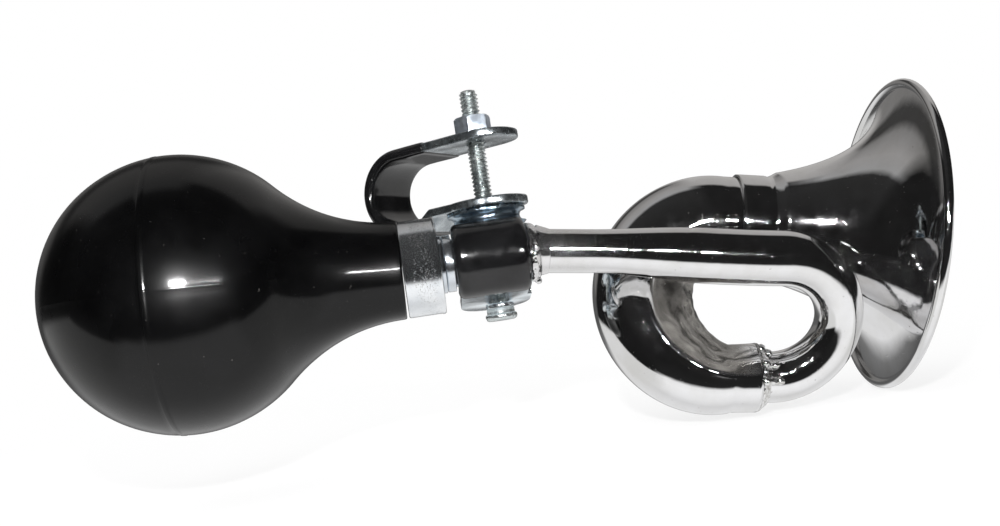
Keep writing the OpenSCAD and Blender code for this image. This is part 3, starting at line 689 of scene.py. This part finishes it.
# Clip: a strip of steel bent round the stem with two ears for the bolt, zinc plated. The toothed
# spacer and the spring washer sit on the ears. The front is dipped in black vinyl.
clip_zinc = zinc_finish("clip_zinc", (0.84, 0.9, 0.93), (0.68, 0.75, 0.8), 0.2, 0.008)
spacer_zinc = zinc_finish("spacer_zinc", (0.5, 0.6, 0.68), (0.1, 0.15, 0.2), 0.2, 0.03)
for node, name, radius, finish in (
    ("stem_clip", "clip_bent", 0.35, clip_zinc),
    ("swivel_spacer", "spacer_toothed", 0.12, spacer_zinc),
    ("lock_washer", "spring_washer", 0.2, clip_zinc),
):
    show(rounded_copy(node, name, radius, "clip"), finish)

dipped_vinyl, tree, shader, place = new_finish("dipped_vinyl")
bloom = spread(tree, grain(tree, place, 6, 4), 0.4, 0.7, 0, 1)
black = between(tree, bloom, (0.003, 0.003, 0.0032), (0.007, 0.007, 0.0074))
tree.links.new(black, shader.inputs["Base Color"])
tree.links.new(spread(tree, grain(tree, place, 2, 5), 0.3, 0.7, 0.08, 0.15), shader.inputs["Roughness"])
thick_and_thin = relief(tree, grain(tree, place, 5, 2), 0.035)
tree.links.new(relief(tree, grain(tree, place, 0.4, 3), 0.006, thick_and_thin), shader.inputs["Normal"])


def dipped(name, stops, across, half_wide, half_thick, place, body, node):
    """A strip's vinyl coat: a flat oval carried along stops of (middle, way through), with soft ends."""
    stops = [(Vector(middle), Vector(through)) for middle, through in stops]
    flat = half_wide - half_thick
    lip = 0.7 * half_thick
    sway_high, sway_size = 0.05, 5
    oval = []
    for side in (1, -1):
        turn = [math.radians(90 - 90 * side - 90 + 180 * i / 12) for i in range(13)]
        oval += [(side * flat, math.cos(a), math.sin(a)) for a in turn]
        oval += [(side * flat * (1 - i / 4), 0.0, float(side)) for i in range(1, 8)]

    def soft_end(end, further_in):
        """Rings that grow from a thin one at the strip's end to the full oval."""
        way = (further_in[0] - end[0]).normalized()
        turn = [math.radians(90 * i / 6) for i in range(6)]
        return [(end[0] + way * lip * (1 - math.cos(a)), end[1], lip * (1 - math.sin(a))) for a in turn]

    rings = soft_end(stops[0], stops[1])
    for middle, through in stops:
        if min((middle - stops[end][0]).length for end in (0, -1)) > lip:
            rings.append((middle, through, 0.0))
    rings += reversed(soft_end(stops[-1], stops[-2]))
    points = []
    for middle, through, inset in rings:
        for mid, c, s in oval:
            wide = mid + (half_thick - inset) * c
            thick = (half_thick - inset) * s
            spot = middle + across * wide + through * thick
            points.append(spot + through * (sway_high * noise.noise(spot / sway_size) * s))
    faces = [f[:1] + f[:0:-1] for f in tube_faces(len(rings), len(oval))]
    piece = mesh_piece(name, points, faces, place)
    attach(piece, body)
    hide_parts(node)
    return piece


lean = math.radians(5)
clip_frame = stem_frame @ Matrix.Rotation(-lean, 4, "X")
clip_mid = -1.45
sleeve_in_r, sleeve_out_r = 6.08, 9.48
half_turn = [math.radians(90 + 180 * i / 48) for i in range(49)]
sleeve_mid_r = (sleeve_in_r + sleeve_out_r) / 2
sleeve_half = (sleeve_out_r - sleeve_in_r) / 2
stops = [
    ((clip_mid, sleeve_mid_r * math.cos(a), sleeve_mid_r * math.sin(a)), (0, math.cos(a), math.sin(a)))
    for a in half_turn
]
clip_half_wide = 9.15
clip_dip = dipped(
    "clip_dip", stops, Vector((1, 0, 0)), clip_half_wide, sleeve_half, clip_frame, "clip", "clip_sleeve"
)
show(clip_dip, dipped_vinyl)

# Clamp bolt and nut: a slotted machine screw with a rolled thread and a plain hexagon nut, zinc plated.
# The nut draws the strap's arm down on the bar as the bolt is turned.
bolt_point = Vector(joint["bolt_turn"]["pos_m"])
bolt_way = -Vector(joint["bolt_turn"]["axis"])
bolt_tilt = Vector((0, 0, 1)).rotation_difference(bolt_way).to_matrix().to_4x4()
bolt_frame = Matrix.Translation(bolt_point) @ bolt_tilt
bolt_r = 2.38
bolt_pitch = 1.058
thread_depth = 0.5
root_r = bolt_r - thread_depth
head_r, head_high, head_round = 4.1, 3.1, 1.0
head_neck_r, neck_high = 3.6, 1.3
bolt_heights = [(bolt_frame.inverted() @ v.co).z / MM for v in frame["nodes"]["clamp_bolt"].data.vertices]
bolt_low, bolt_high = min(bolt_heights), max(bolt_heights)
head_top = bolt_low + head_high
neck_low = head_top - neck_high
thread_from = head_top + 0.1
plain_tip = 0.35
run_in, run_out, tip_bevel = 1.0, 0.7, 0.2
bolt_sides = 48
step = bolt_pitch / 10
rows = [(0.0, bolt_low)] + arc((head_r - head_round, bolt_low + head_round), head_round, -90, 0, 6)
rows += [(head_r, neck_low - 0.3), (head_r - 0.3, neck_low), (head_neck_r + 0.05, neck_low)]
rows += [(head_neck_r, neck_low + 0.1), (head_neck_r, head_top - 0.15), (head_neck_r - 0.15, head_top)]
thread_steps = int((bolt_high - plain_tip - thread_from) / step)
rows += [(None, thread_from + i * step) for i in range(thread_steps + 1)]
rows += [(root_r, bolt_high - 0.12), (root_r - 0.3, bolt_high), (0.0, bolt_high)]


def thread_radius(z, a):
    """Radius of the rolled thread, which fades out at the head and at the tip."""
    share = (z / bolt_pitch - a / (2 * math.pi)) % 1
    crest = min(1.0, max(0.0, 1.35 * (1 - abs(2 * share - 1)) - 0.12))
    fade = min(ease((z - thread_from) / run_in), ease((bolt_high - tip_bevel - z) / run_out))
    return root_r + thread_depth * crest * fade


points = []
for r, z in rows:
    for k in range(bolt_sides):
        a = 2 * math.pi * k / bolt_sides
        here = thread_radius(z, a) if r is None else max(r, 1e-3)
        points.append((here * math.cos(a), here * math.sin(a), z))
bolt = mesh_piece("bolt_threaded", points, tube_faces(len(rows), bolt_sides), bolt_frame)
slot_wide, slot_deep = 1.1, 1.0
slot_box = [
    (x * 2 * head_r, y * slot_wide / 2, bolt_low + z * slot_deep)
    for x in (-1, 1)
    for y in (-1, 1)
    for z in (-1, 1)
]
slot_sides = [(0, 1, 3, 2), (4, 6, 7, 5), (0, 4, 5, 1), (2, 3, 7, 6), (0, 2, 6, 4), (1, 5, 7, 3)]
slot_cutter = mesh_piece("slot_cutter", slot_box, slot_sides, bolt_frame)
sawn = bolt.modifiers.new("slot", "BOOLEAN")
sawn.operation = "DIFFERENCE"
sawn.solver = "EXACT"
sawn.object = slot_cutter
bpy.context.view_layer.update()
slotted = bpy.data.meshes.new_from_object(bolt.evaluated_get(bpy.context.evaluated_depsgraph_get()))
bolt.modifiers.clear()
bolt.data = slotted
bpy.data.objects.remove(slot_cutter)
bolt.data.set_sharp_from_angle(angle=math.radians(50))
bolt_zinc = zinc_finish("bolt_zinc", (0.76, 0.8, 0.8), (0.52, 0.56, 0.56), 0.27, 0.003)
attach(bolt, "clamp_bolt")
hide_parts("clamp_bolt")
show(bolt, bolt_zinc)
nut_zinc = zinc_finish("nut_zinc", (0.78, 0.84, 0.91), (0.6, 0.68, 0.78), 0.38, 0.006)
show(rounded_copy("clamp_nut", "nut_hexagon", 0.16, "clamp_nut", 3), nut_zinc)

# U strap: heavy zinc-plated strip bent round the bar, both ends drilled for the bolt. Its bend is
# dipped in black vinyl, which keeps it from marking the bar.
strap_zinc = zinc_finish("strap_zinc", (0.52, 0.56, 0.58), (0.26, 0.29, 0.31), 0.26, 0.015)
show(rounded_copy("bar_strap", "strap_bent", 0.45, "bar_bracket", 3), strap_zinc)
swivel = math.radians(36)
bar_frame = bolt_frame @ Matrix.Rotation(-swivel, 4, "Z")
bar_r, bar_x = 8.65, -20.5
arm_top = 33.1
strap_wide, strap_t, coat = 18, 2.2, 0.4
u_mid_r = bar_r + coat + strap_t / 2
bar_z = arm_top - strap_t / 2 - u_mid_r
top_end, low_end = -10.5, -16.0
stops = [((mixed(top_end, bar_x, i / 10), 0, bar_z + u_mid_r), (0, 0, 1)) for i in range(10)]
for a in half_turn:
    out = (math.cos(a), 0, math.sin(a))
    stops.append(((bar_x + u_mid_r * out[0], 0, bar_z + u_mid_r * out[2]), out))
stops += [((mixed(bar_x, low_end, i / 6), 0, bar_z - u_mid_r), (0, 0, -1)) for i in range(1, 7)]
dip_half_wide, dip_half = strap_wide / 2 + coat, strap_t / 2 + coat
strap_dip = dipped(
    "strap_dip", stops, Vector((0, 1, 0)), dip_half_wide, dip_half, bar_frame, "bar_bracket", "bar_sleeve"
)
show(strap_dip, dipped_vinyl)

# Stage: a pale floor that runs out into a white background, soft light from above, and a room for the
# metal to mirror, white below and dark on the camera's side. Of five small flash lamps by the camera,
# three leave out the collar, its ring and the bulb, and two light the bulb alone.
low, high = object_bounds()
floor_gap = 0.0006
floor_z = low.z - floor_gap
reach = 3.0
corners = [(x * reach / MM, y * reach / MM, floor_z / MM) for x, y in ((-1, -1), (1, -1), (1, 1), (-1, 1))]
floor = mesh_piece("floor", corners, [(0, 1, 2, 3)])
floor.visible_glossy = False
paper, tree, shader, place = new_finish("paper_floor")
tree.nodes.remove(shader)
out = next(n for n in tree.nodes if n.type == "OUTPUT_MATERIAL")
matt = tree.nodes.new("ShaderNodeBsdfDiffuse")
matt.inputs["Color"].default_value = (0.9, 0.9, 0.9, 1)
white = tree.nodes.new("ShaderNodeEmission")
white.inputs["Color"].default_value = (1, 1, 1, 1)
far = tree.nodes.new("ShaderNodeVectorMath")
far.operation = "DISTANCE"
tree.links.new(place, far.inputs[0])
far.inputs[1].default_value = (0.5 * (low.x + high.x), 0.5 * (low.y + high.y), floor_z)
ray = tree.nodes.new("ShaderNodeLightPath")
paleness = spread(tree, far.outputs["Value"], 0.1, 0.28, 0.74, 1)
share = sums(tree, "MULTIPLY", paleness, ray.outputs["Is Camera Ray"])
mix = tree.nodes.new("ShaderNodeMixShader")
tree.links.new(share, mix.inputs["Fac"])
tree.links.new(matt.outputs[0], mix.inputs[1])
tree.links.new(white.outputs[0], mix.inputs[2])
tree.links.new(mix.outputs[0], out.inputs["Surface"])
floor.data.materials.append(paper)

room = bpy.data.worlds.new("white_room")
bpy.context.scene.world = room
room.use_nodes = True
tree = room.node_tree
tree.nodes.clear()
out = tree.nodes.new("ShaderNodeOutputWorld")
way = tree.nodes.new("ShaderNodeSeparateXYZ")
tree.links.new(tree.nodes.new("ShaderNodeTexCoord").outputs["Generated"], way.inputs[0])
round_x = sums(tree, "ARCTAN2", way.outputs["Z"], way.outputs["Y"])
walls = (
    (-180, 0.012),
    (-150, 0.02),
    (-143, 1.0),
    (-130, 1.05),
    (-106, 0.95),
    (-84, 0.78),
    (-60, 0.85),
    (-28, 0.85),
    (-16, 0.2),
    (-6, 0.1),
    (8, 0.12),
    (16, 0.5),
    (40, 0.48),
    (73, 0.42),
    (80, 0.015),
    (180, 0.012),
)
left_walls = tuple(stop for stop in walls if stop[0] < 10) + (
    (12, 0.2),
    (24, 0.2),
    (29, 0.05),
    (37, 0.05),
    (44, 0.22),
    (54, 0.28),
    (64, 0.34),
    (82, 0.36),
    (90, 0.03),
    (180, 0.012),
)
round_share = spread(tree, round_x, -math.pi, math.pi, 0, 1)


def ring(levels):
    """Grey levels round the X axis: from the camera, down, to the back, up and over to it again."""
    node = tree.nodes.new("ShaderNodeValToRGB")
    tree.links.new(round_share, node.inputs["Fac"])
    while len(node.color_ramp.elements) < len(levels):
        node.color_ramp.elements.new(0.5)
    for stop, (degrees, level) in zip(node.color_ramp.elements, levels):
        stop.position = (degrees + 180) / 360
        warmth = 0.05 if 8 < degrees < 78 else 0.0
        stop.color = (level, (1 - warmth / 2) * level, (1 - warmth) * level, 1)
    return node.outputs["Color"]


leftward = spread(tree, way.outputs["X"], 0.05, 0.2, 1, 0)
behind = between(tree, leftward, ring(walls), ring(left_walls))
nearness = sums(tree, "MAXIMUM", sums(tree, "MULTIPLY", way.outputs["Y"], -0.7), 0)
floor_edge = sums(tree, "ADD", way.outputs["Z"], nearness)
below_edge = spread(tree, floor_edge, -0.07, -0.02, 1, 0)
side_wall = between(tree, below_edge, (0.012, 0.012, 0.012), (0.8, 0.8, 0.79))
sideways = sums(tree, "ABSOLUTE", way.outputs["X"], 0)
mirror_room = between(tree, spread(tree, sideways, 0.64, 0.76, 0, 1), behind, side_wall)
ray = tree.nodes.new("ShaderNodeLightPath")
seen = {}
for name, level in (("soft", 0.8), ("mirror", 1.0), ("plain", 1.0)):
    seen[name] = tree.nodes.new("ShaderNodeBackground")
    seen[name].inputs["Strength"].default_value = level
    seen[name].inputs["Color"].default_value = (1, 1, 1, 1)
tree.links.new(mirror_room, seen["mirror"].inputs["Color"])
inner, outer = tree.nodes.new("ShaderNodeMixShader"), tree.nodes.new("ShaderNodeMixShader")
tree.links.new(ray.outputs["Is Glossy Ray"], inner.inputs["Fac"])
tree.links.new(seen["soft"].outputs[0], inner.inputs[1])
tree.links.new(seen["mirror"].outputs[0], inner.inputs[2])
tree.links.new(ray.outputs["Is Camera Ray"], outer.inputs["Fac"])
tree.links.new(inner.outputs[0], outer.inputs[1])
tree.links.new(seen["plain"].outputs[0], outer.inputs[2])
tree.links.new(outer.outputs[0], out.inputs["Surface"])

camera = bpy.data.objects.new("camera", bpy.data.cameras.new("camera"))
bpy.context.scene.collection.objects.link(camera)
camera.data.sensor_fit = "HORIZONTAL"
camera.data.sensor_width = 36
camera.data.lens = 43.38
camera.data.clip_start = 0.01
right = Vector((0.98648, -0.07846, -0.14391)).normalized()
ahead = Vector((0.07764, 0.99692, -0.01133)).normalized()
upward = right.cross(ahead).normalized()
turned_to = Matrix((right, upward, -ahead)).transposed().to_4x4()
camera.matrix_world = Matrix.Translation((-0.00604, -0.326012, -0.017934)) @ turned_to
bpy.context.scene.camera = camera


def lamp(name, place, aim, size, power, mirrored, height=None):
    """A square lamp, or one of another height, that points at aim."""
    light = bpy.data.lights.new(name, "AREA")
    light.shape = "RECTANGLE"
    light.size = size
    light.size_y = height or size
    light.energy = power
    holder = bpy.data.objects.new(name, light)
    bpy.context.scene.collection.objects.link(holder)
    holder.location = place
    holder.rotation_euler = (Vector(aim) - Vector(place)).to_track_quat("-Z", "Y").to_euler()
    holder.visible_glossy = mirrored
    holder.visible_camera = False
    return holder


middle = (low + high) / 2
lamp("overhead", middle + Vector((-0.2, -0.15, 1.0)), middle, 1.6, 5.0, False)
lamp("side", middle + Vector((-0.7, -0.6, 0.3)), middle, 0.5, 1.0, False)
eye = camera.matrix_world.translation
flash_size = 0.018
for name, across, above, power in (
    ("flash_near", -0.025, 0.086, 1.3),
    ("flash_mid", 0.085, 0.063, 0.26),
    ("flash_far", 0.145, 0.06, 0.16),
):
    flash = lamp(name, eye + across * right + above * upward, middle, flash_size, power, True)
    left_out = bpy.data.collections.new(name + "_left_out")
    for piece in (collar, sealing_ring, bulb):
        left_out.objects.link(piece)
    for entry in left_out.collection_objects:
        entry.light_linking.link_state = "EXCLUDE"
    flash.light_linking.receiver_collection = left_out
bulb_only = bpy.data.collections.new("bulb_only")
bulb_only.objects.link(bulb)
bulb_flash_up = 0.045
for name, across, wide, tall, power in (
    ("bulb_core", -0.025, 0.055, 0.012, 1.5),
    ("bulb_streak", 0.055, 0.21, 0.006, 1.4),
):
    flash = lamp(name, eye + across * right + bulb_flash_up * upward, middle, wide, power, True, tall)
    flash.light_linking.receiver_collection = bulb_only

bpy.context.scene.view_settings.view_transform = "Standard"
